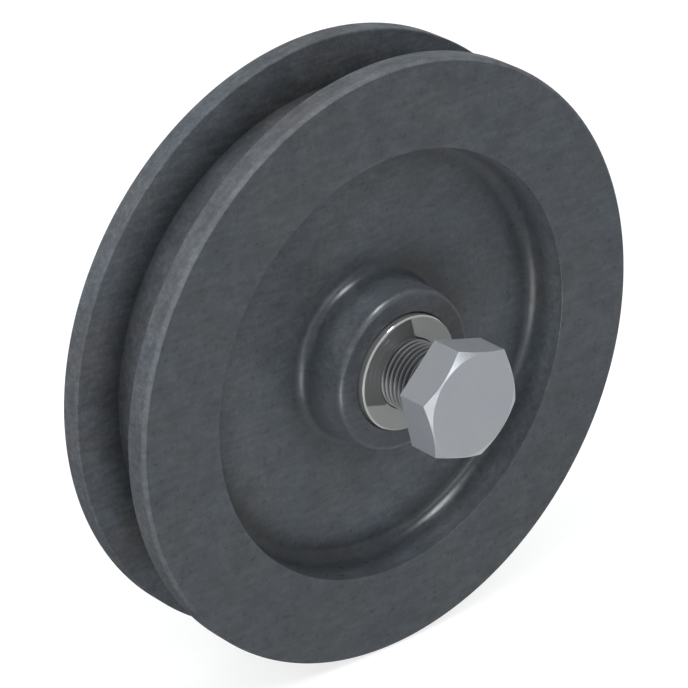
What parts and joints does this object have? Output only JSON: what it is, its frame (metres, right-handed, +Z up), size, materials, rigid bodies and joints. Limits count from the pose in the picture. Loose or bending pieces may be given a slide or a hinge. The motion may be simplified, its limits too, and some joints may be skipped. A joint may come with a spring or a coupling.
{
  "type": "sliding gate wheel",
  "caption": "Cast iron sliding gate wheel with a square rail groove, a recessed web and a raised hub, turning on a steel sleeve that a hex bolt and nut clamp between a gate's side plates.",
  "frame": {"origin": "middle of the wheel, on the axle line and midway between the two faces of the rim", "axes": "+Y along the axle from the bolt's head towards the nut, +Z up, +X along the rail"},
  "size_m": [0.105, 0.067, 0.105],
  "materials": {
    "cast_iron": "dark blue-grey cast iron, satin, faintly mottled",
    "ground_steel": "ground steel, bright",
    "zinc_steel": "bright zinc plate, satin"
  },
  "bodies": {
    "axle": {"axle_sleeve": "ground_steel", "hex_bolt": "zinc_steel", "hex_nut": "zinc_steel"},
    "wheel": {"wheel": "cast_iron"}
  },
  "joints": [
    {"name": "wheel_spin", "type": "hinge", "parent": "axle", "child": "wheel", "pos_m": [0, 0, 0], "axis": [0, 1, 0], "continuous": true}
  ]
}
